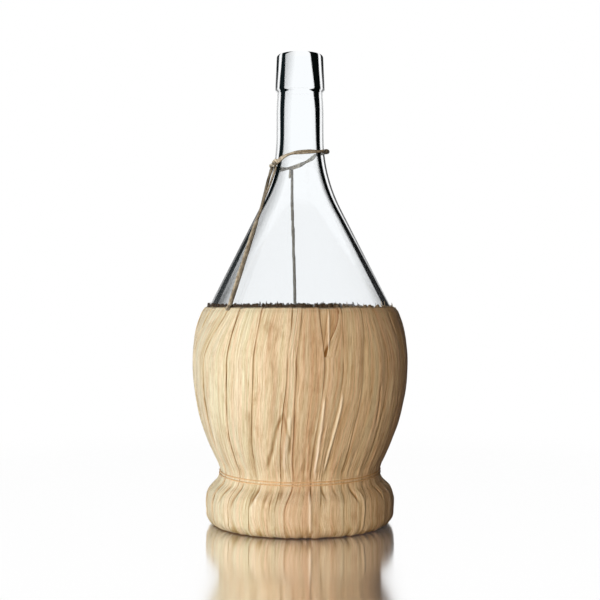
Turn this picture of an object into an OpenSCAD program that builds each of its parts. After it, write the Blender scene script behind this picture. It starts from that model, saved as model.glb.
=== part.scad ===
// Straw-covered round-bottomed wine flask (fiasco), standing on z = 0 with its axis on Z.
// The glass flask sits in a bolster ring. Broad dried-leaf strips are folded over a hoop at the
// cover's rim, run down the flask, are gathered by a thread at the waist, pass over the ring and
// tuck under it. Straw cords tie the rim to the neck.

/* [Flask] */
// Height from the table to the lip
height = 277.2; // [272:0.2:284]
// Outer diameter of the neck where it is parallel
neck_d = 28.2; // [26:0.1:30]
// Diameter of the mouth's bore, which takes the cork
bore_d = 18.5; // [17:0.1:19.5]
// Largest diameter of the lip's collar
collar_d = 29.4; // [29:0.1:31]
// Height of the lip's collar
collar_h = 22; // [18:0.2:26]
// Largest diameter of the glass
belly_d = 122.8; // [121:0.2:123.4]
// Height of the largest diameter
belly_h = 96; // [95:0.5:97]
// Slope of the straight shoulder, measured from the axis
shoulder_angle = 27.1; // [26.5:0.1:27.6]
// Thickness of the glass from shoulder to base
wall = 2.6; // [2:0.1:3.2]

/* [Cover] */
// Largest diameter over the strips
cover_d = 126.5; // [126:0.1:129]
// Diameter over the strips at the tied waist
waist_d = 94; // [93.4:0.1:95]
// Largest diameter of the foot
foot_d = 110; // [109:0.5:112]
// Height of the folded rim
rim_h = 128; // [127.4:0.1:128.6]
// Thickness of one strip
strip_t = 0.45; // [0.4:0.05:0.6]
// How far each strip lies under the one before it
strip_lap = 2; // [1:0.1:2.6]
// Height to which a strip's middle swells out where the waist gathers it
pleat = 0.5; // [0:0.05:0.8]

/* [Cords] */
// Diameter of the two-ply cord round the neck
cord_d = 2.4; // [1.8:0.1:2.6]
// Diameter of the single strands that hold the rim to the neck
strand_d = 0.9; // [0.7:0.05:1]
// Diameter of the thread at the waist
thread_d = 0.8; // [0.5:0.05:0.9]
// Turns of the thread round the waist
thread_turns = 2; // [1:1:3]
// Rise of the thread in each turn
thread_pitch = 1.6; // [1.4:0.1:2]

/* [Hidden] */
// Each anchor seam has its bearing at the rim, belly, waist and foot, in degrees from the front
// towards +X, and the number of strips up to the next anchor seam.
anchor_seams = [
    [-45, -60, -65, -65, 1],
    [-36, -40, -46.5, -47, 1],
    [-21.5, -23.5, -30.5, -31, 1],
    [-4, -6.5, -13, -14.5, 1],
    [1, -1.5, -5, -9, 1],
    [10.5, 12, 7, 4.5, 1],
    [23, 21.5, 14.5, 11, 1],
    [36, 33, 29, 26, 1],
    [45.5, 50.5, 47.5, 40.5, 1],
    [58.5, 64, 64.5, 62, 9],
    [183.4, 184, 183, 183, 8],
    [315, 300, 295, 295, 0]
];
strip_count = 26;
function digits2(n) = str(n < 10 ? "0" : "", n);

$fn = 96;
arc_step = 6;
straw = [0.87, 0.76, 0.58];
cord_straw = [0.80, 0.66, 0.44];
thread_brown = [0.72, 0.45, 0.22];
clear_glass = [0.85, 0.92, 0.93, 0.4];

// Points on a circle about c, from angle a0 to a1
function arc(c, r, a0, a1, step = arc_step) =
    let (n = max(1, ceil(abs(a1 - a0) / step)))
    [for (i = [0:n]) let (a = a0 + (a1 - a0) * i / n) [c[0] + r * cos(a), c[1] + r * sin(a)]];
function mix(a, b, t) = a + (b - a) * t;
function unit(v) = v / norm(v);
// 0 below a, 1 above b and a smooth rise between them
function ramp(a, b, x) = let (t = min(1, max(0, (x - a) / (b - a)))) t * t * (3 - 2 * t);
// A repeatable number from -1 to 1 for the whole number n
function scatter(n) = sin(137.5 * n * n + 61 * n);

// Glass outline: belly arcs above and below, a straight shoulder and a hollow curve to the neck
belly_r = belly_d / 2;
neck_r = neck_d / 2;
crown_r = 71.2;
side_r = 124.7;
side_angle = 32;
corner_r = 28;
throat_r = 93;
crown_c = [belly_r - crown_r, belly_h];
side_c = [belly_r - side_r, belly_h];
corner_c = side_c + (side_r - corner_r) * [cos(side_angle), -sin(side_angle)];
flask_base = corner_c[1] - corner_r;
base_wall = 3.6;

// Radius of the straight shoulder at height z, set in from the outer face by gap
function shoulder_x(z, gap) =
    crown_c[0] + (crown_r - gap) / cos(shoulder_angle)
    - (z - crown_c[1]) * tan(shoulder_angle);
function shoulder_z(x, gap) =
    crown_c[1] + (crown_c[0] + (crown_r - gap) / cos(shoulder_angle) - x) / tan(shoulder_angle);
// Centre of the hollow curve that joins the shoulder to a vertical line at radius x
function throat_c(x, gap) =
    [x + throat_r, shoulder_z(x, gap) + throat_r * tan(shoulder_angle / 2)];
function body_line(x_neck, gap, base_z) = concat(
    [[0, base_z]],
    arc(corner_c, corner_r - gap, -90, -side_angle),
    arc(side_c, side_r - gap, -side_angle, 0, 3),
    arc(crown_c, crown_r - gap, 0, shoulder_angle, 3),
    arc(throat_c(x_neck, gap), throat_r, 180 + shoulder_angle, 180, 3)
);
collar_r = collar_d / 2;
collar_z = height - collar_h;
neck_waist = 0.55;
lip_round = 2.2;
bead_round = 1.2;
mouth_round = 1;
lip_r = neck_r;
function outer_line() = concat(
    body_line(neck_r, 0, flask_base),
    [[neck_r, collar_z - 10], [neck_r - neck_waist, collar_z - 4]],
    arc([collar_r - bead_round, collar_z + bead_round], bead_round, -90, 0, 30),
    arc([lip_r - lip_round, height - lip_round], lip_round, 0, 90, 22.5)
);
function inner_line() = concat(
    body_line(bore_d / 2, wall, flask_base + base_wall),
    arc([bore_d / 2 + mouth_round, height - mouth_round], mouth_round, 180, 90, 30)
);
function reversed(p) = [for (i = [len(p) - 1:-1:0]) p[i]];

module glass_flask() {
    color(clear_glass)
        rotate_extrude()
            polygon(concat(outer_line(), reversed(inner_line())));
}
// Contents to the brim, from slices of the inner outline
function slice(a, b) = PI * abs(b[1] - a[1]) * (a[0] * a[0] + a[0] * b[0] + b[0] * b[0]) / 3;
function total(v) = len(v) == 0 ? 0 : v * [for (x = v) 1];
inside = inner_line();
brim_litres = total([for (i = [1:len(inside) - 1]) slice(inside[i - 1], inside[i])]) / 1e6;

// Cover outline: the mean outer face of the strips from the rim to the table
rim_outer_r = cover_d / 2;
top_arc_r = 82.5;
side_arc_r = 122;
waist_arc_r = 10;
foot_arc_r = 16;
heel_r = 7;
foot_h = 13.8;
top_c = [rim_outer_r - top_arc_r, belly_h];
lower_c = [rim_outer_r - side_arc_r, belly_h];
waist_c = [waist_d / 2 + waist_arc_r,
    belly_h - sqrt(pow(side_arc_r + waist_arc_r, 2)
        - pow(waist_d / 2 + waist_arc_r - lower_c[0], 2))];
foot_c = [foot_d / 2 - foot_arc_r, foot_h];
heel_c = [foot_d / 2 - heel_r, heel_r];
waist_h = waist_c[1];
lower_angle = atan2(belly_h - waist_h, waist_c[0] - lower_c[0]);
foot_angle = atan2(waist_h - foot_h, waist_c[0] - foot_c[0]);

// The hoop lies in the fold of the strips
hoop_d = 0.7;
hoop_gap = 0.2;
fold_r = hoop_d / 2 + hoop_gap + strip_t;
fold_angle = asin((rim_h - fold_r - belly_h) / (top_arc_r - fold_r));
fold_c = top_c + (top_arc_r - fold_r) * [cos(fold_angle), sin(fold_angle)];
tail_angle = fold_angle - 6;
ring_bore_r = 36;
tuck_r = 1.6;
tuck_h = 12;

// The route of a strip's outer face, from its hidden upper end to its hidden lower end
strip_route = concat(
    arc(top_c, top_arc_r - 2 * fold_r, tail_angle, fold_angle, 3),
    [for (a = [135, 90, 45]) fold_c + fold_r * [cos(fold_angle + a), sin(fold_angle + a)]],
    arc(top_c, top_arc_r, fold_angle, 0, 7),
    [for (a = [6:5.75:lower_angle]) lower_c + side_arc_r * [cos(a), -sin(a)]],
    arc(waist_c, waist_arc_r, 180 - lower_angle + 8, 180 + foot_angle - 10, 15),
    arc(foot_c, foot_arc_r, foot_angle, 0, 15),
    arc(heel_c, heel_r, 0, -90, 30),
    [[mix(heel_c[0], ring_bore_r, 0.5), 0]],
    arc([ring_bore_r, tuck_r], tuck_r, -90, -180, 30),
    [[ring_bore_r - tuck_r, tuck_h]]
);
stations = len(strip_route);
function along(i) = unit(strip_route[min(i + 1, stations - 1)] - strip_route[max(i - 1, 0)]);
// The route runs clockwise round the wall, so its left side faces out
function outward(i) = [-along(i)[1], along(i)[0]];

// Shingling: each strip climbs by lift from its low edge, which lies under its neighbour, to its
// high edge, which shows as the seam
lift_gap = 0.3;
lift = strip_t + lift_gap;
side_gap = 0.3;
first_outside = 6;
function is_outside(i) = i >= first_outside && strip_route[i][0] > ring_bore_r;
function lift_share(i) = let (z = strip_route[i][1])
    is_outside(i) ? (1 - ramp(117, 122, z)) * ramp(1, 7, z) : 0;
function lap_share(i) = let (z = strip_route[i][1])
    is_outside(i) ? (1 - ramp(104, 112, z)) * ramp(8, 16, z) : 0;
function crown_share(i) = let (z = strip_route[i][1])
    is_outside(i) ? (0.35 + 0.65 * exp(-pow((z - waist_h) / 14, 2))) * (1 - ramp(114, 122, z)) * ramp(2, 10, z) : 0;

// Bearing of seam k at height z
function anchor_of(k, a = 0) = k < anchor_seams[a][4] || a == len(anchor_seams) - 1
    ? [a, k] : anchor_of(k - anchor_seams[a][4], a + 1);
function seam(k, z) =
    let (
        at = anchor_of(k), a = anchor_seams[at[0]],
        b = anchor_seams[min(at[0] + 1, len(anchor_seams) - 1)],
        t = a[4] > 0 ? (at[1] + (at[1] > 0 ? 0.16 * scatter(k) : 0)) / a[4] : 0,
        row = [for (j = [0:3]) mix(a[j], b[j], t)]
    )
    z > belly_h ? mix(row[1], row[0], ramp(belly_h, rim_h, z))
    : z > waist_h ? mix(row[2], row[1], ramp(waist_h, belly_h, z))
    : mix(row[3], row[2], ramp(foot_h, waist_h, z));
// The stays pass the rim through a wider gap between two strips
stay_seams = [0, 18];
notch = 1.9;
function notch_at(k, z) =
    len([for (s = stay_seams) if (s == k || s == k - strip_count) s]) > 0
        ? notch * ramp(117, 121, z) : 0;

// A cross-section of strip k at station i: three points on its outer face, three on its inner
function strip_ring(k, i) =
    let (
        p = strip_route[i], n = outward(i), z = p[1],
        deg_mm = 180 / (PI * max(p[0], 1)),
        a0 = seam(k, z)
            + (mix(side_gap / 2, -strip_lap, lap_share(i)) + notch_at(k, z)) * deg_mm,
        a1 = seam(k + 1, z) - (side_gap / 2 + notch_at(k + 1, z)) * deg_mm,
        rise = lift * lift_share(i),
        swell = [0, pleat * crown_share(i) * (1 + 0.3 * scatter(k)), 0],
        bearing = [a0, (a0 + a1) / 2, a1],
        share = [0, 0.5, 1 + (is_outside(i) ? 0.15 : 0)],
        outer = [for (j = [0:2]) p + n * (rise * (share[j] - 0.5) + swell[j])],
        ring = concat(outer, [for (j = [2:-1:0]) outer[j] - n * strip_t]),
        turn = concat(bearing, reversed(bearing))
    )
    [for (j = [0:5]) [ring[j][0] * sin(turn[j]), -ring[j][0] * cos(turn[j]), ring[j][1]]];

// Skin over rings of points, closed at both ends
module loft(rings) {
    n = len(rings[0]);
    m = len(rings);
    sides = [for (i = [0:m - 2]) for (j = [0:n - 1])
        let (a = i * n + j, b = i * n + (j + 1) % n)
        each [[a, b, b + n], [a, b + n, a + n]]];
    caps = [for (j = [1:n - 2]) each [[0, j + 1, j], [(m - 1) * n, (m - 1) * n + j, (m - 1) * n + j + 1]]];
    polyhedron([for (r = rings) each r], concat(sides, caps));
}
module cover_strip(k) {
    color(straw)
        loft([for (i = [0:stations - 1]) strip_ring(k, i)]);
}

module rim_hoop() {
    color(cord_straw)
        rotate_extrude()
            translate(fold_c)
                circle(d = hoop_d, $fn = 24);
}

// Bolster of bundled straw that carries the flask and fills the foot
ring_gap = 0.6;
ring_top = 26.5;
function foot_ring_line() = let (skin = strip_t + lift / 2 + pleat / 2 + ring_gap) concat(
    [[ring_bore_r + ring_gap, strip_t + ring_gap + 1.5]],
    [[ring_bore_r + ring_gap + 1.5, strip_t + ring_gap]],
    arc(heel_c, heel_r - strip_t - ring_gap, -90, 0, 15),
    arc(foot_c, foot_arc_r - skin, 0, foot_angle - 8, 8),
    [[side_c[0] + sqrt(pow(side_r + ring_gap, 2) - pow(belly_h - ring_top, 2)) + 1.8, ring_top]],
    [[side_c[0] + sqrt(pow(side_r + ring_gap, 2) - pow(belly_h - ring_top, 2)), ring_top]],
    arc(corner_c, corner_r + ring_gap, -side_angle, -50, 5),
    [[ring_bore_r + ring_gap, corner_c[1] - sqrt(pow(corner_r + ring_gap, 2)
        - pow(ring_bore_r + ring_gap - corner_c[0], 2))]]
);
module foot_ring() {
    color(straw)
        rotate_extrude()
            polygon(foot_ring_line());
}

// Tube of radius r along a path of points, with its rings square to the path
function path_dir(path, i) = unit(path[min(i + 1, len(path) - 1)] - path[max(i - 1, 0)]);
function tube_ring(path, i, r, sides, side_hint) =
    let (d = path_dir(path, i), u = unit(cross(side_hint, d)), v = cross(d, u))
    [for (j = [0:sides - 1]) path[i] + r * (cos(360 * j / sides) * u + sin(360 * j / sides) * v)];
module tube(path, r, sides, side_hint) {
    loft([for (i = [0:len(path) - 1]) reversed(tube_ring(path, i, r, sides, side_hint))]);
}

// The thread is one unbroken tube that climbs as it goes round
rings_per_turn = 24;
thread_out = thread_d / 2 + lift * 0.65 + 0.27;
// It was wound a little low, and lower at the front than at the back
thread_drop = 1.3;
thread_slope = 1.3;
function waist_x(z) = waist_c[0] - sqrt(pow(waist_arc_r, 2) - pow(z - waist_h, 2));
thread_path = [for (i = [0:rings_per_turn * thread_turns])
    let (t = i / rings_per_turn, a = 180 + 360 * t,
         z = waist_h - thread_drop - thread_slope * cos(a) + thread_pitch * (t - thread_turns / 2),
         r = waist_x(z) + pleat * 0.7 + thread_out)
    [r * sin(a), -r * cos(a), z]];
thread_self_gap = min([for (i = [0:len(thread_path) - 1 - rings_per_turn])
    norm(thread_path[i + rings_per_turn] - thread_path[i])]) - thread_d;
module waist_binding() {
    color(thread_brown)
        tube(thread_path, thread_d / 2, 6, [0, 0, 1]);
}

// The loop hangs tilted on the hollow curve of the neck, with its ends in the knot
cord_gap = 0.25;
loop_h = 214.5;
loop_side_rise = 5.4;
loop_front_rise = 2.4;
knot_bearing = -57;
knot_half_angle = 7;
function loop_z(a) = loop_h + loop_side_rise * sin(a) + loop_front_rise * cos(a);
function throat_x(z) = throat_c(neck_r, 0)[0] - sqrt(pow(throat_r, 2) - pow(throat_c(neck_r, 0)[1] - z, 2));
function glass_x(z) = z > throat_c(neck_r, 0)[1] ? neck_r
    : z > throat_c(neck_r, 0)[1] - throat_r * sin(shoulder_angle) ? throat_x(z) : shoulder_x(z, 0);
function at(bearing, r, z) = [r * sin(bearing), -r * cos(bearing), z];
function loop_point(a) = at(a, glass_x(loop_z(a)) + cord_d / 2 + cord_gap, loop_z(a));
loop_path = [for (i = [0:36])
    loop_point(mix(knot_bearing + knot_half_angle, knot_bearing + 360 - knot_half_angle, i / 36))];
module neck_loop() {
    color(cord_straw)
        tube(loop_path, cord_d / 2, 8, [0, 0, 1]);
}

// The knot is a short barrel of three turns, lying along the loop
knot_d = 3.4;
knot_turns = 3;
knot_len = 3.6;
knot_at = at(knot_bearing, glass_x(loop_z(knot_bearing)) + knot_d / 2 + cord_gap, loop_z(knot_bearing));
module neck_knot() {
    turn_w = knot_len / knot_turns;
    color(cord_straw)
        translate(knot_at)
            rotate([0, 90, knot_bearing])
                translate([0, 0, -knot_len / 2])
                    rotate_extrude($fn = 32)
                        union() {
                            square([knot_d / 2 - turn_w / 2, knot_len]);
                            for (i = [0:knot_turns - 1])
                                translate([knot_d / 2 - turn_w / 2, turn_w * (i + 0.5)])
                                    circle(d = turn_w, $fn = 24);
                        }
}

// A stay comes down straight from the neck, then bends over the hoop and under it
hoop_clear = 0.1;
hook_r = hoop_d / 2 + hoop_clear + strand_d / 2;
function on_hoop(bearing, a, side) =
    at(bearing, fold_c[0] + hook_r * cos(a), fold_c[1] + hook_r * sin(a))
    + side * [cos(bearing), sin(bearing), 0];
function hook(bearing, side) = [for (a = [100:-35:-75]) on_hoop(bearing, a, side)];
function straight(a, b, n) = [for (i = [0:n - 1]) mix(a, b, i / n)];

front_bearing = -45;
strand_side = 0.75;
front_top = knot_at + [-0.6, -0.6, -knot_d / 2 - cord_gap - 0.3];
// The two strands leave the knot side by side, the outer one a little further round the neck
function front_run(side) = concat(
    straight(front_top + side * 2.2 * [cos(front_bearing), sin(front_bearing), 0],
        on_hoop(front_bearing, 100, side), 8),
    hook(front_bearing, side)
);
module front_stay() {
    color(cord_straw)
        tube(concat(front_run(strand_side), reversed(front_run(-strand_side))), strand_d / 2, 6,
            [0.3, -0.2, 1]);
}

back_bearing = 183.4;
back_top_bearing = 196;
back_top = at(back_top_bearing, glass_x(loop_z(back_top_bearing)) + cord_d / 2 + cord_gap,
    loop_z(back_top_bearing) - cord_d / 2 - cord_gap - strand_d / 2);
module back_stay() {
    color(cord_straw)
        tube(concat(straight(back_top, on_hoop(back_bearing, 100, 0), 8), hook(back_bearing, 0)),
            strand_d / 2, 6, [0, 0, 1]);
}

echo(brim_litres = brim_litres, thread_self_gap = thread_self_gap, flask_base = flask_base,
    stations = stations, strip_triangles = strip_count * (12 * (stations - 1) + 8));

glass_flask();
foot_ring();
rim_hoop();
waist_binding();
neck_loop();
neck_knot();
front_stay();
back_stay();
for (i = [1:strip_count])
    cover_strip(i - 1);
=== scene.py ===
"""A straw-covered wine flask, standing empty on a glossy white table."""
import math
import random

import bmesh
import bpy
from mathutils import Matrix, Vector, noise


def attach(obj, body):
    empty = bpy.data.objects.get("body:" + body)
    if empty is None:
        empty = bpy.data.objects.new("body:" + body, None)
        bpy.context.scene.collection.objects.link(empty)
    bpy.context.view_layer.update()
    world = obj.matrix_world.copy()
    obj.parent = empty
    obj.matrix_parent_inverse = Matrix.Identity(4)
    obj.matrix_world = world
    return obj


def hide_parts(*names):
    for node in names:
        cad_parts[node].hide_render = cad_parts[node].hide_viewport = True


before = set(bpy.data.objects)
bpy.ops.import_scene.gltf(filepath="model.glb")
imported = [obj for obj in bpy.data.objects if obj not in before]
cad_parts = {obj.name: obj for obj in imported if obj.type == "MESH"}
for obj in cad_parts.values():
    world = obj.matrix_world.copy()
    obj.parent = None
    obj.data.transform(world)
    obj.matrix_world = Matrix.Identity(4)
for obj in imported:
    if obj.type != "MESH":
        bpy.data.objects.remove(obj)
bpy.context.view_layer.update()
MM = 0.001
TAU = 2 * math.pi

# Camera. The photograph was taken from 0.7 m with a short telephoto lens, just above the height
# of the cover's rim, on an image 600 pixels square.
CAMERA_DISTANCE = 0.70
CAMERA_HEIGHT = 0.1325
CAMERA_TILT = math.radians(0.05)
FOCAL_LENGTH = 70.74

camera_data = bpy.data.cameras.new("camera")
camera_data.lens = FOCAL_LENGTH
camera_data.sensor_width = 36
camera_data.clip_start = 0.01
camera = bpy.data.objects.new("camera", camera_data)
camera.location = (0, -CAMERA_DISTANCE, CAMERA_HEIGHT)
camera.rotation_euler = (math.pi / 2 - CAMERA_TILT, 0, 0)
bpy.context.scene.collection.objects.link(camera)
bpy.context.scene.camera = camera
bpy.context.scene.view_settings.view_transform = "Standard"


# Table. A sheet of glossy white acrylic with a grain across the view, which draws the foot's
# reflection out. Away from the flask it clears to white, and meets the backdrop without a line.
def new_material(name):
    material = bpy.data.materials.new(name)
    material.use_nodes = True
    tree = material.node_tree
    tree.nodes.clear()
    return material, tree


def add_node(tree, kind, **values):
    """A node with its settings and the values of its sockets."""
    node = tree.nodes.new(kind)
    for name, value in values.items():
        if hasattr(node, name):
            setattr(node, name, value)
        else:
            node.inputs[name.replace("_", " ")].default_value = value
    return node


def wire(tree, start, end):
    tree.links.new(start, end)


def wire_by_sight(tree, unseen, seen, output):
    """One shader for the light that falls on the flask, and another that is seen: by the camera,
    in gloss and through glass."""
    path = add_node(tree, "ShaderNodeLightPath")
    sight = path.outputs["Is Camera Ray"]
    for ray in ("Is Glossy Ray", "Is Transmission Ray"):
        either = add_node(tree, "ShaderNodeMath", operation="MAXIMUM")
        wire(tree, sight, either.inputs[0])
        wire(tree, path.outputs[ray], either.inputs[1])
        sight = either.outputs[0]
    by_ray = add_node(tree, "ShaderNodeMixShader")
    wire(tree, sight, by_ray.inputs[0])
    wire(tree, unseen.outputs[0], by_ray.inputs[1])
    wire(tree, seen.outputs[0], by_ray.inputs[2])
    wire(tree, by_ray.outputs[0], output.inputs[0])


# Width in metres, the reflection's blur and its grain, how far the table shines by itself near the
# flask, its matt colour under the lamps, and the distances between which it clears to white
WHITE = (1, 1, 1, 1)
TABLE_WIDTH = 4.0
TABLE_BLUR = 0.11
TABLE_GRAIN = 0.55
TABLE_GLOW = 0.03
TABLE_MATT = (0.35, 0.27, 0.19, 1)
CLEAR_FROM = 0.22
CLEAR_TO = 0.55

table_material, tree = new_material("white_acrylic")
mirror = add_node(tree, "ShaderNodeBsdfGlossy", Color=WHITE, Roughness=TABLE_BLUR, Anisotropy=TABLE_GRAIN)
grain = add_node(tree, "ShaderNodeCombineXYZ", X=1.0)
matt = add_node(tree, "ShaderNodeBsdfDiffuse", Color=TABLE_MATT)
glow = add_node(tree, "ShaderNodeEmission", Color=WHITE, Strength=1.0)
gloss = add_node(tree, "ShaderNodeMixShader")
place = add_node(tree, "ShaderNodeTexCoord")
away = add_node(tree, "ShaderNodeVectorMath", operation="LENGTH")
clearing = add_node(tree, "ShaderNodeMapRange", interpolation_type="SMOOTHSTEP", From_Min=CLEAR_FROM,
                    From_Max=CLEAR_TO, To_Min=TABLE_GLOW)
wire(tree, place.outputs["Object"], away.inputs[0])
wire(tree, away.outputs["Value"], clearing.inputs["Value"])
wire(tree, clearing.outputs[0], gloss.inputs[0])
wire(tree, grain.outputs[0], mirror.inputs["Tangent"])
wire(tree, mirror.outputs[0], gloss.inputs[1])
wire(tree, glow.outputs[0], gloss.inputs[2])
wire_by_sight(tree, matt, gloss, add_node(tree, "ShaderNodeOutputMaterial"))

bm = bmesh.new()
bmesh.ops.create_grid(bm, x_segments=1, y_segments=1, size=TABLE_WIDTH / 2)
table_mesh = bpy.data.meshes.new("table")
bm.to_mesh(table_mesh)
bm.free()
table = bpy.data.objects.new("table", table_mesh)
table.data.materials.append(table_material)
bpy.context.scene.collection.objects.link(table)

# Studio. A white backdrop, which glass and gloss show too, a large cool lamp at the left, a
# warmer one in front and one behind for the side that the photograph doesn't show.
BACKDROP_LIGHT = 0.02
BACKDROP_TINT = (1, 0.7, 0.42, 1)

world = bpy.data.worlds.new("studio")
world.use_nodes = True
tree = world.node_tree
tree.nodes.clear()
shown = add_node(tree, "ShaderNodeBackground", Color=WHITE, Strength=1.0)
felt = add_node(tree, "ShaderNodeBackground", Color=BACKDROP_TINT, Strength=BACKDROP_LIGHT)
wire_by_sight(tree, felt, shown, add_node(tree, "ShaderNodeOutputWorld"))
bpy.context.scene.world = world

LAMP_AIM = Vector((0, 0, 0.1))


def soft_lamp(name, bearing, distance, height, width, watts, colour):
    """A square lamp that faces the flask's belly, at a bearing from the front towards +X."""
    turn = math.radians(bearing)
    place = Vector((distance * math.sin(turn), -distance * math.cos(turn), height))
    data = bpy.data.lights.new(name, "AREA")
    data.size = width
    data.energy = watts
    data.color = colour
    lamp = bpy.data.objects.new(name, data)
    lamp.location = place
    lamp.rotation_euler = (LAMP_AIM - place).to_track_quat("-Z", "Y").to_euler()
    lamp.visible_camera = False
    lamp.visible_glossy = False
    lamp.visible_transmission = False
    bpy.context.scene.collection.objects.link(lamp)


soft_lamp("left_lamp", -63, 1.5, 0.25, 0.5, 18.0, (0.69, 0.83, 1.0))
soft_lamp("front_lamp", -15, 1.7, 0.22, 0.4, 25.0, (1.0, 0.87, 0.70))
soft_lamp("back_lamp", 180, 1.6, 0.5, 0.4, 16.0, (1.0, 0.95, 0.88))

# Flask. Clear glass, blown thin in the belly and thick in the neck. The lip is a plain collar
# for a cork. Its bottom is round, so it can't stand without its cover.
HEIGHT = 277.2
NECK_R = 14.1
BORE_R = 9.25
COLLAR_R = 14.7
COLLAR_H = 22.0
BELLY_R = 61.4
BELLY_Z = 96.0
SHOULDER = math.radians(27.1)
WALL = 2.6
BASE_WALL = 3.6
CROWN_R = 71.2
SIDE_R = 124.7
SIDE_ANGLE = math.radians(32)
CORNER_R = 28.0
THROAT_R = 93.0
LIP_ROUND = 2.2
COLLAR_ROUND = 1.2
BORE_ROUND = 1.0
GLASS_STEPS = 160
# Colours of the glass, of the light that lamps send through it and of the bands of shade
GLASS_TINT = (0.975, 0.990, 1.0, 1)
SHADOW_TINT = (0.9, 0.93, 0.95, 1)
SHADE_BLACK = (0.004, 0.007, 0.008, 1)


def blend(low, high, x):
    """0 below low, 1 above high and a smooth rise between them."""
    t = min(1.0, max(0.0, (x - low) / (high - low)))
    return t * t * (3 - 2 * t)


def mix(a, b, t):
    return a + (b - a) * t


def arc(centre, radius, start, end, step=math.radians(3)):
    """Points on a circle from one angle to another, as (radius, height) in mm."""
    count = max(1, math.ceil(abs(end - start) / step))
    angles = [start + (end - start) * i / count for i in range(count + 1)]
    return [(centre[0] + radius * math.cos(a), centre[1] + radius * math.sin(a)) for a in angles]


crown_c = (BELLY_R - CROWN_R, BELLY_Z)
side_c = (BELLY_R - SIDE_R, BELLY_Z)
corner_c = (side_c[0] + (SIDE_R - CORNER_R) * math.cos(SIDE_ANGLE),
            side_c[1] - (SIDE_R - CORNER_R) * math.sin(SIDE_ANGLE))
flask_base = corner_c[1] - CORNER_R


def shoulder_x(z, gap):
    """Radius of the straight shoulder at a height, set in from its outer face."""
    return crown_c[0] + (CROWN_R - gap) / math.cos(SHOULDER) - (z - BELLY_Z) * math.tan(SHOULDER)


def throat_centre(neck_x, gap):
    """Centre of the hollow curve that joins the shoulder to the neck."""
    meeting = BELLY_Z + (shoulder_x(BELLY_Z, gap) - neck_x) / math.tan(SHOULDER)
    return (neck_x + THROAT_R, meeting + THROAT_R * math.tan(SHOULDER / 2))


def flask_body(neck_x, gap, base_z):
    """Half outline from the bottom's middle to the foot of the neck."""
    return ([(0, base_z)]
            + arc(corner_c, CORNER_R - gap, -math.pi / 2, -SIDE_ANGLE)
            + arc(side_c, SIDE_R - gap, -SIDE_ANGLE, 0)[1:]
            + arc(crown_c, CROWN_R - gap, 0, SHOULDER)[1:]
            + arc(throat_centre(neck_x, gap), THROAT_R, math.pi + SHOULDER, math.pi))


collar_z = HEIGHT - COLLAR_H
flask_outer = (flask_body(NECK_R, 0, flask_base)
               + [(NECK_R - 0.1, collar_z - 12), (NECK_R - 0.3, collar_z - 7),
                  (NECK_R - 0.55, collar_z - 3.5), (NECK_R - 0.6, collar_z - 1.5),
                  (NECK_R - 0.6, collar_z - 0.6)]
               + arc((COLLAR_R - COLLAR_ROUND, collar_z + COLLAR_ROUND), COLLAR_ROUND, -1.3, 0.1, 0.2)
               + [(COLLAR_R, collar_z + 2), (COLLAR_R - 0.1, collar_z + 5), (COLLAR_R - 0.45, collar_z + 12)]
               + arc((NECK_R - LIP_ROUND - 0.15, HEIGHT - LIP_ROUND), LIP_ROUND, 0, math.pi / 2, 0.2))
flask_inner = (flask_body(BORE_R, WALL, flask_base + BASE_WALL)
               + arc((BORE_R + BORE_ROUND, HEIGHT - BORE_ROUND), BORE_ROUND, math.pi, math.pi / 2, 0.25))


# Bands of painted shade on the glass, from the lip down to the cover, on its left and on its right.
# Each row holds the height; where the main band begins, the softness of that side, where it ends and
# the softness of that side; the strength and width of the outermost line; the strength of the grey
# veil of painted shade inside the band and of the band. Widths are in mm, as seen in from the outline.
LEFT_SHADES = [
    (277.2, 2.2, 0.4, 8.0, 0.6, 1.0, 1.5, 0.40, 1.00), (275.6, 2.9, 0.4, 4.9, 0.6, 1.0, 1.4, 0.48, 1.00),
    (268.0, 2.6, 0.4, 5.0, 0.6, 1.0, 1.3, 0.46, 1.00), (262.0, 2.3, 0.4, 5.1, 0.6, 0.95, 1.2, 0.42, 1.00),
    (257.2, 2.2, 0.4, 5.1, 0.6, 0.9, 1.1, 0.40, 1.00), (255.4, 2.0, 0.4, 4.9, 0.6, 0.7, 0.9, 0.36, 1.00),
    (254.6, 1.4, 0.4, 6.6, 0.5, 0.6, 0.9, 0.40, 1.00), (253.7, 1.8, 0.4, 4.4, 0.6, 0.4, 0.8, 0.30, 1.00),
    (228.0, 2.1, 0.4, 4.3, 0.8, 0.4, 0.8, 0.25, 1.00), (205.0, 1.8, 0.4, 4.0, 1.4, 0.7, 0.8, 0.38, 1.00),
    (192.0, 1.2, 0.5, 3.0, 1.8, 0.8, 0.9, 0.42, 1.00), (180.0, 0.5, 0.6, 2.0, 1.4, 0.9, 0.9, 0.48, 1.00),
    (171.0, 0.3, 0.9, 2.2, 0.9, 0.8, 0.8, 0.50, 0.95), (162.0, 0.2, 2.4, 3.5, 0.8, 0.35, 0.6, 0.56, 0.91),
    (150.0, 0.1, 2.2, 3.8, 0.9, 0.35, 0.6, 0.66, 0.91), (134.0, 0.0, 1.5, 4.2, 0.9, 0.35, 0.6, 0.75, 0.95)]
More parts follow.
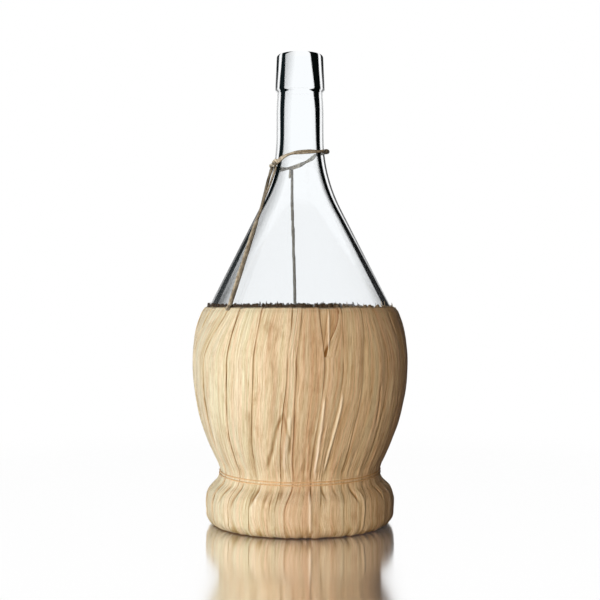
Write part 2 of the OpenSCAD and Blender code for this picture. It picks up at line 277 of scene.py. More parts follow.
RIGHT_SHADES = [
    (277.2, 2.2, 0.4, 7.2, 0.6, 1.0, 1.4, 0.10, 1.00), (275.6, 2.7, 0.4, 7.0, 0.6, 1.0, 1.4, 0.15, 1.00),
    (262.0, 2.5, 0.4, 6.1, 0.6, 0.95, 1.2, 0.15, 1.00), (257.2, 2.3, 0.4, 5.8, 0.6, 0.9, 1.1, 0.15, 1.00),
    (255.4, 2.0, 0.4, 5.6, 0.5, 0.8, 1.0, 0.15, 1.00), (254.6, 1.4, 0.4, 7.4, 0.6, 0.6, 0.9, 0.10, 1.00),
    (253.7, 1.9, 0.4, 5.1, 0.6, 0.4, 0.8, 0.10, 1.00), (240.0, 1.9, 0.4, 4.4, 0.7, 0.5, 0.8, 0.10, 1.00),
    (222.0, 2.1, 0.4, 4.2, 0.9, 0.6, 0.8, 0.10, 1.00), (214.0, 2.2, 0.4, 4.2, 1.3, 0.95, 1.0, 0.15, 1.00),
    (205.0, 2.2, 0.4, 4.2, 2.2, 0.95, 1.0, 0.15, 1.00), (192.0, 2.2, 0.5, 4.1, 2.4, 0.85, 1.1, 0.15, 1.00),
    (183.0, 1.9, 0.6, 4.1, 2.2, 0.85, 1.2, 0.15, 1.00), (177.0, 1.5, 0.7, 3.7, 1.9, 0.75, 1.3, 0.28, 0.98),
    (170.0, 0.9, 0.8, 2.5, 1.6, 0.5, 1.1, 0.38, 0.97), (162.0, 0.7, 0.9, 2.2, 0.9, 0.45, 1.0, 0.30, 0.95),
    (148.0, 0.5, 0.9, 2.3, 0.8, 0.45, 1.0, 0.33, 0.95), (139.0, 0.3, 0.8, 3.5, 0.7, 0.4, 1.0, 0.42, 0.96),
    (134.0, 0.2, 0.6, 4.0, 0.7, 0.4, 1.0, 0.42, 0.97)]


# Softness of the outermost painted line, and how far in the veil of painted shade holds, in mm: it is
# gone at twice that, and reaches further where it is strong
EDGE_SOFTNESS = 0.35
VEIL_SHADE_REACH = 3.25
VEIL_SHADE_SPREAD = 4.0


def shades_at(rows, z):
    """A row's values at a height between the rows."""
    z = min(rows[0][0], max(rows[-1][0], z))
    for above, below in zip(rows, rows[1:]):
        if z >= below[0]:
            return [mix(b, a, (z - below[0]) / (above[0] - below[0])) for a, b in zip(above[1:], below[1:])]


def glass_shader(name, has_bands, ior=1.5):
    """Clear glass, with bands of painted shade along the outline: a near-black diffuse shader is
    mixed in on the outer face where a line of sight that slants through the thickness of the wall
    would miss the white backdrop. The attributes band, line and veil hold their places and
    strengths, and the girth, which is the flask's radius in mm. Lamps shine through it."""
    material, tree = new_material(name)
    glass = add_node(tree, "ShaderNodeBsdfPrincipled", Base_Color=GLASS_TINT, Roughness=0.0, IOR=ior,
                     Transmission_Weight=1.0)
    out = add_node(tree, "ShaderNodeOutputMaterial")
    light_path = add_node(tree, "ShaderNodeLightPath")
    clear = add_node(tree, "ShaderNodeBsdfTransparent", Color=SHADOW_TINT)
    passing = add_node(tree, "ShaderNodeMixShader")
    wire(tree, light_path.outputs["Is Shadow Ray"], passing.inputs[0])
    wire(tree, clear.outputs[0], passing.inputs[2])
    wire(tree, passing.outputs[0], out.inputs[0])
    if not has_bands:
        wire(tree, glass.outputs[0], passing.inputs[1])
        return material

    def reckon(operation, a, b=None, clamp=False):
        node = add_node(tree, "ShaderNodeMath", operation=operation, use_clamp=clamp)
        for socket, value in zip(node.inputs, (a, b)):
            if isinstance(value, float):
                socket.default_value = value
            elif value is not None:
                wire(tree, value, socket)
        return node.outputs[0]

    def parts(attribute):
        source = add_node(tree, "ShaderNodeAttribute", attribute_name=attribute)
        split = add_node(tree, "ShaderNodeSeparateXYZ")
        wire(tree, source.outputs["Vector"], split.inputs[0])
        return split.outputs

    def rising(value, start, width):
        """0 up to start, 1 from start + width on."""
        return reckon("DIVIDE", reckon("SUBTRACT", value, start), width, clamp=True)

    def falling(value, start, width):
        return reckon("SUBTRACT", 1.0, rising(value, start, width))

    near, soft, far = parts("band")
    fade, line, line_width = parts("line")
    veil, full, girth = parts("veil")
    place = add_node(tree, "ShaderNodeTexCoord")
    outward = add_node(tree, "ShaderNodeVectorMath", operation="MULTIPLY")
    outward.inputs[1].default_value = (1, 1, 0)
    unit = add_node(tree, "ShaderNodeVectorMath", operation="NORMALIZE")
    slant = add_node(tree, "ShaderNodeLayerWeight", Blend=0.5)
    wire(tree, place.outputs["Object"], outward.inputs[0])
    wire(tree, outward.outputs[0], unit.inputs[0])
    wire(tree, unit.outputs[0], slant.inputs["Normal"])
    cosine = reckon("SUBTRACT", 1.0, slant.outputs["Facing"])
    sine = reckon("SQRT", reckon("SUBTRACT", 1.0, reckon("MULTIPLY", cosine, cosine)))
    inset = reckon("MULTIPLY", girth, reckon("SUBTRACT", 1.0, sine))
    begins = rising(inset, near, soft)
    band = reckon("MULTIPLY", reckon("MULTIPLY", begins, full), falling(inset, far, fade))
    edge = reckon("MULTIPLY", rising(inset, 0.0, EDGE_SOFTNESS), falling(inset, line_width, 0.4))
    half_reach = reckon("ADD", reckon("MULTIPLY", veil, VEIL_SHADE_SPREAD), VEIL_SHADE_REACH)
    veil_shade = reckon("MULTIPLY", begins, falling(inset, half_reach, half_reach))
    shade = reckon("MAXIMUM", band, reckon("MAXIMUM", reckon("MULTIPLY", edge, line),
                                           reckon("MULTIPLY", veil_shade, veil)))
    # Painted shade: the bands mix this near-black diffuse into the glass on its outer face
    dark = add_node(tree, "ShaderNodeBsdfDiffuse", Color=SHADE_BLACK)
    geometry = add_node(tree, "ShaderNodeNewGeometry")
    mixed = add_node(tree, "ShaderNodeMixShader")
    outside = reckon("SUBTRACT", 1.0, geometry.outputs["Backfacing"])
    wire(tree, reckon("MULTIPLY", shade, outside), mixed.inputs[0])
    wire(tree, glass.outputs[0], mixed.inputs[1])
    wire(tree, dark.outputs[0], mixed.inputs[2])
    wire(tree, mixed.outputs[0], passing.inputs[1])
    return material


def add_piece(name, bm, materials, replaces):
    """A finished mesh as a piece of the flask's one body, in place of a solid."""
    mesh = bpy.data.meshes.new(name)
    bm.to_mesh(mesh)
    bm.free()
    for polygon in mesh.polygons:
        polygon.use_smooth = True
    piece = bpy.data.objects.new(name, mesh)
    for material in materials:
        mesh.materials.append(material)
    bpy.context.scene.collection.objects.link(piece)
    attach(piece, "root")
    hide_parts(replaces)
    return piece


def spun(outline, steps):
    """An outline of (radius, height) in mm, turned round the axis."""
    bm = bmesh.new()
    verts = [bm.verts.new((r * MM, 0, z * MM)) for r, z in outline]
    edges = [bm.edges.new(pair) for pair in zip(verts, verts[1:])]
    bmesh.ops.spin(bm, geom=verts + edges, cent=(0, 0, 0), axis=(0, 0, 1), angle=TAU, steps=steps,
                   use_merge=True)
    bmesh.ops.remove_doubles(bm, verts=bm.verts, dist=1e-6)
    bmesh.ops.dissolve_degenerate(bm, edges=bm.edges, dist=1e-7)
    return bm


bm = spun(flask_outer + flask_inner[::-1], GLASS_STEPS)
bmesh.ops.recalc_face_normals(bm, faces=bm.faces)
bm.normal_update()
shade_layers = [bm.verts.layers.float_vector.new(name) for name in ("band", "line", "veil")]
for vert in bm.verts:
    z = vert.co.z / MM
    girth = math.hypot(vert.co.x, vert.co.y) / MM
    at_right = 0.5 if girth < 1 else blend(-0.2, 0.2, vert.co.x / MM / girth)
    values = [mix(a, b, at_right) for a, b in zip(shades_at(LEFT_SHADES, z), shades_at(RIGHT_SHADES, z))]
    values.append(girth)
    for layer, triple in zip(shade_layers, (values[:3], values[3:6], values[6:])):
        vert[layer] = triple
# Below the collar an outer face is known by the way it faces, and above by its distance from the
# axis. The lip has a glass of its own, which doesn't bend the light.
belly_middle = Vector((0, 0, BELLY_Z * MM))
for face in bm.faces:
    middle = face.calc_center_median()
    if middle.z / MM > collar_z - 4:
        outward = math.hypot(middle.x, middle.y) / MM > BORE_R + 1.2
    else:
        outward = face.normal.dot(middle - belly_middle) > 0
    at_lip = middle.z / MM > HEIGHT - (LIP_ROUND if outward else 1.1 * BORE_ROUND)
    face.material_index = (2 if at_lip else 0) if outward else (3 if at_lip else 1)
glasses = [glass_shader("outer_glass", True), glass_shader("inner_glass", False),
           glass_shader("outer_lip", True, 1.0), glass_shader("inner_lip", False, 1.0)]
add_piece("flask", bm, glasses, "glass_flask")

# Cover. Twenty-six broad strips of dried marsh leaf. Each is folded over a hoop at the rim, laps
# a little over its neighbour, is gathered by the thread at the waist, runs over the bolster in
# the foot and is tucked up inside it.
COVER_R = 63.25
WAIST_R = 47.0
FOOT_R = 55.0
RIM_Z = 128.0
STRIP_T = 0.45
LIFT = 0.5
LAP = 2.0
TOP_ARC_R = 82.5
SIDE_ARC_R = 122.0
WAIST_ARC_R = 10.0
FOOT_ARC_R = 16.0
FOOT_Z = 13.8
HEEL_R = 7.0
HOOP_R = 0.35
FOLD_R = HOOP_R + 0.2 + STRIP_T
RING_BORE_R = 36.0
TUCK_R = 1.6
TUCK_H = 12.0
STRIP_COUNT = 26
ACROSS = 46
# Bearing of the main seams at the rim, belly, waist and foot, in degrees from the front, and the
# number of strips up to the next main seam
MAIN_SEAMS = [
    (-45, -60, -65, -65, 1), (-36, -40, -46.5, -47, 1), (-21.5, -23.5, -30.5, -31, 1),
    (-4, -6.5, -13, -14.5, 1), (1, -1.5, -5, -9, 1), (10.5, 12, 7, 4.5, 1),
    (23, 21.5, 14.5, 11, 1), (36, 33, 29, 26, 1), (45.5, 50.5, 47.5, 40.5, 1),
    (58.5, 64, 64.5, 62, 9), (183.4, 184, 183, 183, 8), (315, 300, 295, 295, 0)]
# Brightness and tint of single strips: the tint runs from -1, greenish cream, to 1, reddish. They are
# partly the leaves' own colours and partly painted light: the greener strips at the left and redder ones
# at the right carry some of the colour of the cool left lamp and the warm front one, and the brightness
# evens out part of the fall of light across the front
LEAF_TONES = {23: (0.1, -0.4), 24: (0.2, -0.7), 25: (0.4, -0.8), 0: (0.5, -0.9), 1: (0.3, -0.8),
              2: (0.1, -0.3), 3: (-0.3, 0.0), 4: (-0.6, 0.4), 5: (-0.4, 0.3), 6: (0.1, 0.1),
              7: (0.4, 0.1), 8: (0.1, 0.35), 9: (-0.4, 0.5)}
# Ridges and furrows that the gathering has pressed into the leaves: height and half width in mm,
# then the bearing and height above the table of the points that they pass
# Besides their relief, the furrows get painted shade and the ridges a painted highlight
CREASES = [
    (-0.7, 1.0, [(-8.5, 71), (-13, 60), (-16, 50), (-22, 37)]),
    (-0.6, 0.9, [(-8.5, 71), (-7, 63), (-5.5, 56), (-6, 46)]),
    (-0.3, 2.2, [(-27.5, 72), (-29, 55), (-33, 36)]),
    (0.7, 0.5, [(16, 127), (15, 115), (14.3, 103)]),
    (0.5, 1.5, [(-4, 72), (-7, 55), (-10, 37)]),
    (0.7, 0.8, [(12.5, 80), (12, 68), (11, 57), (10.5, 47), (9.5, 34)]),
    (0.7, 0.8, [(22, 82), (21, 71), (18.8, 58), (17.2, 49), (15.5, 35)]),
    (0.6, 0.9, [(6, 28), (5.7, 12), (6, 2)]),
    (-0.9, 0.9, [(-27.5, 31), (-30.2, 17)]),
    (0.4, 0.9, [(-25.5, 31), (-27.5, 17)]),
    (-0.6, 0.8, [(-11, 30), (-12, 20)]),
    (-0.7, 0.7, [(14, 30), (16, 21)]),
    (-0.8, 0.8, [(34.5, 30), (37, 18)]),
    (-0.5, 0.8, [(22, 30), (23.5, 22)]),
    (-0.6, 0.8, [(-41, 30), (-45, 14)]),
    (-0.7, 0.9, [(-52, 30), (-57, 16)]),
    (0.4, 0.9, [(40, 28), (40.5, 20), (39.5, 9), (39, 1)]),
    (-0.5, 0.8, [(45.5, 87), (46, 76), (46, 62)]),
    (0.5, 1.1, [(-56.5, 78), (-58, 62), (-66, 36)]),
    (-0.6, 0.8, [(58, 28), (60, 17)]),
    (-0.5, 0.8, [(-20, 28), (-21.5, 17)])]
# How dark the painted shade line beside each main seam is, by the strip that begins there
SEAM_SHADE_LINES = {24: 0.5, 25: 0.6, 0: 1.1, 1: 1.1, 2: 0.8, 3: 1.2, 4: 0.6, 5: 1.1, 6: 1.0, 7: 0.7,
              8: 1.9, 9: 1.3}
# Brown smears on the leaves: strength and half width in mm, then bearings and heights
SMEARS = [
    (0.55, 2.6, [(-16, 127), (-14.5, 105), (-12, 80), (-15, 58)]),
    (0.35, 2.0, [(3, 120), (2, 95)]),
    (0.45, 5.5, [(63, 128), (66, 108)]),
    (0.45, 2.6, [(57, 84), (60, 76)]),
    (0.30, 2.4, [(-14, 28), (-18, 4)])]
# The strip whose upper corner is torn away, which shows a browner leaf under it, and the tear's edge
TORN_STRIP = 5
TEAR = [(11.7, 101), (13.2, 105), (15.6, 110), (18.8, 116), (21.0, 122), (21.6, 140)]
# How far under the narrowest waist the thread lies, and where the leaves bend over the bolster
THREAD_DROP = 1.3
KNEE_Z = 20.0
# Heights in mm of the leaves' larger forms: a strip's arch from seam to seam, the bend over the
# bolster, the bolster's roundness, the hollow above it, the rim's rounded edge and the wavy hem;
# and how far the thread's bite and the gathers reach from the waist, with the gathers' share below it
STRIP_ARCH = 0.25
KNEE_RIDGE = 0.35
BOLSTER_SWELL = 0.4
BOLSTER_HOLLOW = 0.5
RIM_ROUNDING = 0.6
HEM_WAVE = 0.7
THREAD_BITE = 2.4
GATHER_ABOVE = 24
GATHER_BELOW = 7
GATHER_SHARE = 0.38
# Width in mm that a strip takes up on its UV map, and from one strip to the next
MAP_WIDTH = 14
MAP_STEP = 31

top_c = (COVER_R - TOP_ARC_R, BELLY_Z)
lower_c = (COVER_R - SIDE_ARC_R, BELLY_Z)
waist_c = (WAIST_R + WAIST_ARC_R,
           BELLY_Z - math.sqrt((SIDE_ARC_R + WAIST_ARC_R) ** 2 - (WAIST_R + WAIST_ARC_R - lower_c[0]) ** 2))
WAIST_Z = waist_c[1]
foot_c = (FOOT_R - FOOT_ARC_R, FOOT_Z)
heel_c = (FOOT_R - HEEL_R, HEEL_R)
lower_angle = math.atan2(BELLY_Z - WAIST_Z, waist_c[0] - lower_c[0])
foot_angle = math.atan2(WAIST_Z - FOOT_Z, waist_c[0] - foot_c[0])
fold_angle = math.asin((RIM_Z - FOLD_R - BELLY_Z) / (TOP_ARC_R - FOLD_R))
fold_c = (top_c[0] + (TOP_ARC_R - FOLD_R) * math.cos(fold_angle),
          top_c[1] + (TOP_ARC_R - FOLD_R) * math.sin(fold_angle))

fine = math.radians(0.4)
tail_line = arc(top_c, TOP_ARC_R - 2 * FOLD_R, fold_angle - math.radians(6), fold_angle, math.radians(2))
fold_line = arc(fold_c, FOLD_R, fold_angle + math.pi, fold_angle, 0.26)[1:]
cover_line = (tail_line + fold_line
              + arc(top_c, TOP_ARC_R, fold_angle, 0, fine)[1:]
              + arc(lower_c, SIDE_ARC_R, 0, -lower_angle, fine)[1:]
              + arc(waist_c, WAIST_ARC_R, math.pi - lower_angle, math.pi + foot_angle, 0.05)[1:]
              + arc(foot_c, FOOT_ARC_R, foot_angle, 0, 0.05)[1:]
              + [(FOOT_R, mix(FOOT_Z, HEEL_R, t / 6)) for t in range(1, 6)]
              + arc(heel_c, HEEL_R, 0, -math.pi / 2, 0.1)
              + [(46.0, 0), (42.0, 0), (39.0, 0)]
              + arc((RING_BORE_R, TUCK_R), TUCK_R, -math.pi / 2, -math.pi, 0.3)
              + [(RING_BORE_R - TUCK_R, TUCK_H / 2), (RING_BORE_R - TUCK_R, TUCK_H)])
line_at = [0.0]
for a, b in zip(cover_line, cover_line[1:]):
    line_at.append(line_at[-1] + math.dist(a, b))
first_outside = len(tail_line) + len(fold_line) // 2
last_outside = len(cover_line) - 9


def scatter(n):
    """A repeatable number from -1 to 1."""
    return math.sin(math.radians(137.5 * n * n + 61 * n))


def seam_row(k):
    """Bearings of seam k at the rim, belly, waist and foot."""
    anchor = 0
    while k >= MAIN_SEAMS[anchor][4] > 0:
        k -= MAIN_SEAMS[anchor][4]
        anchor += 1
    here, count = MAIN_SEAMS[anchor], MAIN_SEAMS[anchor][4]
    if count == 0 or k == 0:
        return here[:4]
    t = (k + 0.16 * scatter(k)) / count
    return [mix(a, b, t) for a, b in zip(here[:4], MAIN_SEAMS[anchor + 1][:4])]


def seam_bearing(k, z):
    """Where a seam lies at a height, with the wander of a leaf's cut edge."""
    row = seam_row(k)
    if z > BELLY_Z:
        bearing = mix(row[1], row[0], blend(BELLY_Z, RIM_Z, z))
    elif z > WAIST_Z:
        bearing = mix(row[2], row[1], blend(WAIST_Z, BELLY_Z, z))
    else:
        bearing = mix(row[3], row[2], blend(FOOT_Z, WAIST_Z, z))
    return bearing + 0.5 * noise.noise(Vector((k % STRIP_COUNT * 7.3, z / 19, 0.5)))


def along(points, z):
    """Bearing at a height on a line of (bearing, height) points, which run one way."""
    rising = sorted(points, key=lambda p: p[1])
    for (b0, z0), (b1, z1) in zip(rising, rising[1:]):
        if z <= z1:
            return mix(b0, b1, max(0.0, (z - z0) / (z1 - z0)))
    return rising[-1][0]


def bell(x, middle, width):
    """1 at the middle, falling off smoothly on both sides."""
    return math.exp(-((x - middle) / width) ** 2)


def crease_height(bearing, r, z):
    """Height in mm that the pressed ridges and furrows add at a place on the cover."""
    bearing = (bearing + 180) % 360 - 180
    height = 0.0
    for rise, width, points in CREASES:
        top, bottom = points[0][1], points[-1][1]
        if bottom < z < top:
            off = math.radians(bearing - along(points, z)) * r
            height += rise * min(1.0, (top - z) / 5) * min(1.0, (z - bottom) / 4) * bell(off, 0, width)
    return height


def smeared(bearing, r, z):
    """Strength of the brown smears at a place on the cover."""
    bearing = (bearing + 180) % 360 - 180
    brown = 0.0
    for strength, width, points in SMEARS:
        top, bottom = points[0][1], points[-1][1]
        if bottom < z < top:
            off = math.radians(bearing - along(points, z)) * r / width
            off += 0.5 * noise.noise(Vector((bearing / 2, z / 6, 3.3)))
            brown += strength * min(1.0, (top - z) / 8) * min(1.0, (z - bottom) / 8) * bell(off, 0, 1)
    return brown


def crested(x, y, seed):
    """Noise with sharp crests, about 0 in the hollows and 1 on the crests."""
    return 1 - 2 * abs(noise.noise(Vector((x, y, seed))))


def leaf_relief(u, width, s, seed, gather, wander):
    """Height in mm of the leaf's dents, ribs, gathers and fibres; u runs across the strip."""
    dents = 0.22 * noise.noise(Vector((u * width / 6, s / 26, seed)))
    ribs = 0.12 * noise.noise(Vector((u * 9, s / 80, 3 + seed)))
    veins = 0.06 * noise.noise(Vector((u * 24, s / 50, 9 + seed)))
    bend = 0.5 * noise.noise(Vector((0, s / 22, seed))) * wander
    wrinkles = 0.5 * max(0.0, crested(u * 2.6 + bend, s / 60, 40 + seed) - 0.72)
    furrows = -0.5 * max(0.0, crested(u * 2.1 - bend, s / 48, 60 + seed) - 0.74)
    pleats = gather * (0.55 * crested(u * 2.3 + bend, s / 40, 21 + seed) - 0.15
                       + 0.28 * crested(u * 5.5, s / 24, 33 + seed))
    return dents + ribs + veins + wrinkles + furrows + pleats


def column_share(j):
    """How far across a strip its column j of points lies; they crowd towards the edges."""
    t = j / ACROSS
    return mix(t, 0.5 - 0.5 * math.cos(math.pi * t), 0.7)


def leaf_sheet(bm, k, low_edge, high_edge, seam, stations, drop, tone, tint, laid_over=None):
    """One sheet of leaf with its thickness, between two edges given as bearings at a height. It
    lies a little lower along the low edge, which runs under the strip before it up to the seam.
    laid_over is the edge of a leaf that covers this one's high side."""
    uv = bm.loops.layers.uv["leaf"]
    layers = bm.verts.layers.float
    shift = 40 * scatter(k + 3)
    seed = 0.37 * k + drop
    outer_rows, inner_rows = [], []
    for i in stations:
        r, z = cover_line[i]
        before, after = cover_line[max(0, i - 1)], cover_line[min(len(cover_line) - 1, i + 1)]
        run = Vector((after[0] - before[0], after[1] - before[1])).normalized()
        out = (-run[1], run[0])
        outside = first_outside <= i <= last_outside
        flat = blend(1, 7, z)
        bound = bell(z, WAIST_Z - THREAD_DROP, THREAD_BITE)
        ragged = 1 + 0.8 * noise.noise(Vector((k * 3.1, line_at[i] / 11, 6.2)))
        lift = LIFT * ragged * (1 - 0.45 * blend(117, 124, z)) * flat * (1 - 0.6 * bound) if outside else 0.3
        if z > WAIST_Z:
            gather = bell(z, WAIST_Z, GATHER_ABOVE)
        else:
            gather = GATHER_SHARE * bell(z, WAIST_Z, GATHER_BELOW)
        wander = mix(0.2, 1, blend(WAIST_Z - 8, WAIST_Z, z))
        arch = STRIP_ARCH * (1 - 0.8 * blend(114, 126, z)) * (1 - bound) * flat if outside else 0
        start, end = low_edge(z), high_edge(z)
        width = math.radians(end - start) * r
        outer, inner = [], []
        # Strength of the painted shade line beside the seam, varying along it
        line = max(0.0, 0.5 + 1.1 * noise.noise(Vector((k * 5.7, line_at[i] / 13, 2.9))))
        line *= SEAM_SHADE_LINES.get(k, 0.8) * mix(0.35, 1, blend(14, 25, z))
        for j in range(ACROSS + 1):
            u = column_share(j)
            bearing = mix(start, end, u)
            rise = lift * (u * 1.1 - 0.5) + arch * math.sin(math.pi * u)
            rise -= drop * (1 - 0.7 * blend(119, 127, z))
            beyond = math.radians(bearing - seam(z)) * r
            short = math.radians((laid_over(z) if laid_over else end) - bearing) * r
            # Painted shade beside the seam, beside the edge of a leaf laid over this one and in furrows; the
            # brown smears are added to the same mark
            shade_and_smears = line * (1.1 * blend(0.85, 0.0, beyond) + 0.45 * blend(0.5, 0.0, short))
            if laid_over:
                shade_and_smears += mix(1.1, 0.35, blend(104, 116, z)) * blend(1.3, 0.0, short)
            pressed = 0.0
            if outside:
                edge_share = min(1, 0.35 + u / 0.09) * min(1, 0.35 + (1 - u) / 0.06)
                settle = blend(0.0, 4.0, z) * (1 - 0.6 * blend(118, 127, z)) * (1 - 0.8 * bound)
                settle *= mix(0.45, 1, blend(14, 24, z))
                rise += settle * edge_share * leaf_relief(u, width, line_at[i] + shift, seed, gather, wander)
                pressed = crease_height(bearing, r, z)
                rise += pressed * blend(0, 2, z) * (1 - 0.5 * bound)
                shade_and_smears += 1.1 * max(0.0, -pressed) + 0.6 * smeared(bearing, r, z)
                rise += HEM_WAVE * (1 - blend(1, 9, z)) * noise.noise(Vector((bearing / 3.5, 0.3, 7.7)))
                knee = KNEE_Z + 2.5 * noise.noise(Vector((bearing / 14, 0.8, 1.7)))
                rise += KNEE_RIDGE * bell(z, knee, 1.8) + BOLSTER_SWELL * bell(z, FOOT_Z, 5)
                rise -= BOLSTER_HOLLOW * bell(z, KNEE_Z + 6, 3) + RIM_ROUNDING * blend(124.5, 127.6, z)
            angle = math.radians(bearing)
            for row, depth in ((outer, 0), (inner, STRIP_T)):
                rr, zz = r + out[0] * (rise - depth), z + out[1] * (rise - depth)
                vert = bm.verts.new((rr * math.sin(angle) * MM, -rr * math.cos(angle) * MM,
                                     max(zz, 0.0) * MM))
                vert[layers["tone"]] = tone
                vert[layers["tint"]] = tint
                vert[layers["shade_and_smears"]] = shade_and_smears if outside else 0.0
                vert[layers["pale"]] = max(0.0, pressed)
                row.append(vert)
        outer_rows.append(outer)
        inner_rows.append(inner)

    def skin(corners, places):
        face = bm.faces.new(corners)
        for loop, (i, j) in zip(face.loops, places):
            loop[uv].uv = (column_share(j) * MAP_WIDTH + MAP_STEP * k, line_at[stations[i]] + shift)

    last = len(stations) - 1
    for i in range(last):
        for j in range(ACROSS):
            places = ((i, j), (i + 1, j), (i + 1, j + 1), (i, j + 1))
            skin([outer_rows[a][b] for a, b in places], places)
            skin([inner_rows[a][b] for a, b in places[::-1]], places[::-1])
        for j, order in ((0, 1), (ACROSS, -1)):
            corners = (outer_rows[i][j], inner_rows[i][j], inner_rows[i + 1][j], outer_rows[i + 1][j])
            skin(corners[::order], ((i, j), (i, j), (i + 1, j), (i + 1, j))[::order])
    for j in range(ACROSS):
        for i, order in ((0, -1), (last, 1)):
            corners = (outer_rows[i][j], inner_rows[i][j], inner_rows[i][j + 1], outer_rows[i][j + 1])
            skin(corners[::order], ((i, j), (i, j), (i, j + 1), (i, j + 1))[::order])


TIP_BASE_R = 55.1
TIP_BASE_Z = 126.6
TIP_T = 0.18


def rim_tips(bm, k, start, end):
    """Ragged dark ends of the leaf, which stand up between the folded rim and the glass. Their
    near-black colour is partly the cut ends' own and partly painted shade of the gap there.
    """
    layers = bm.verts.layers.float
    rng = random.Random(100 + k)
    bearing = start
    while bearing < end:
        width = rng.uniform(1.0, 3.4)
        worn = blend(15, 40, bearing) * (1 - blend(100, 140, bearing))
        height = rng.uniform(2.6, 3.9) - 0.9 * worn
        narrow = rng.uniform(0.15, 0.9)
        if rng.random() < 0.16:
            width, height, narrow = rng.uniform(0.5, 0.9), rng.uniform(3.2, 5.0), 0.15
        lean, skew = rng.uniform(0.3, 1.0), rng.uniform(-0.7, 0.7)
        tone = rng.uniform(-0.6, 0.4)
        outer, inner = [], []
        for side, up in ((-0.5, 0), (0.5, 0), (0.45, 0.75), (0.5 * narrow, 1), (-0.5 * narrow, 0.9),
                         (-0.48, 0.7)):
            a = math.radians(bearing) + (side * width + skew * up) / TIP_BASE_R
            for ring, depth in ((outer, 0), (inner, TIP_T)):
                r = TIP_BASE_R + 0.1 - lean * up - depth
                vert = bm.verts.new((r * math.sin(a) * MM, -r * math.cos(a) * MM,
                                     (TIP_BASE_Z + height * up) * MM))
                vert[layers["tone"]] = tone
                # Near-black, partly painted shade of the gap behind the rim
                vert[layers["dark"]] = 1 - 0.35 * worn
                ring.append(vert)
        bm.faces.new(outer)
        bm.faces.new(inner[::-1])
        for i in range(6):
            n = (i + 1) % 6
            bm.faces.new((outer[n], outer[i], inner[i], inner[n]))
        bearing += math.degrees(rng.uniform(0.5, 1.0 + 0.5 * worn) * width / TIP_BASE_R)


# What each point of a leaf carries: the strip's brightness and tint, which partly hold painted light;
# how far a ragged tip is coloured near-black, partly as painted shade; the painted shade of seams,
# gaps and furrows together with the brown smears; and the painted highlight on ridges
LEAF_MARKS = ("tone", "tint", "dark", "shade_and_smears", "pale")


def strip_mesh(k):
    """One leaf strip, from its end inside the rim to its end inside the foot's ring."""
    bm = bmesh.new()
    bm.loops.layers.uv.new("leaf")
    for name in LEAF_MARKS:
        bm.verts.layers.float.new(name)
    turn = 360 if k == STRIP_COUNT - 1 else 0

    def per_mm(z):
        return math.degrees(1 / 60) if z > WAIST_Z else math.degrees(1 / 50)

    def lapped(z):
        lap = LAP * mix(1, 0.35, blend(118, 127, z)) * blend(4, 12, z) + 0.1
        return seam_bearing(k, z) - lap * per_mm(z)

    def seam(z):
        return seam_bearing(k, z)

    def torn(z):
        return max(lapped(z), along(TEAR, z)) if z > TEAR[0][1] else lapped(z)

    def high(z):
        return seam_bearing((k + 1) % STRIP_COUNT, z) + turn - 0.1 * per_mm(z)

    tone, tint = LEAF_TONES.get(k, (0.7 * scatter(5 * k + 2), 0.35 * scatter(3 * k + 4)))
    whole = list(range(len(cover_line)))
    if k == TORN_STRIP:
        upper = [i for i in whole if cover_line[i][1] > 98 and i < last_outside]
        leaf_sheet(bm, k, torn, high, seam, whole, 0.0, tone, tint)
        leaf_sheet(bm, k, lapped, lambda z: along(TEAR, z) + 2.2, seam, upper, STRIP_T + 0.15, -0.6, 0.5,
                   lambda z: along(TEAR, z))
    else:
        leaf_sheet(bm, k, lapped, high, seam, whole, 0.0, tone, tint)
    rim_tips(bm, k, seam_row(k)[0], seam_row((k + 1) % STRIP_COUNT)[0] + turn)
    bm.normal_update()
    return bm


def colour_stops(tree, factor, *stops):
    """Colours by a factor: a stop is its place and its colour, and the first two are the outer ones."""
    ramp = add_node(tree, "ShaderNodeValToRGB")
    for i, (position, colour) in enumerate(stops):
        stop = ramp.color_ramp.elements[i] if i < 2 else ramp.color_ramp.elements.new(position)
        stop.position = position
        stop.color = (*colour, 1)
    wire(tree, factor, ramp.inputs[0])
    return ramp.outputs[0]


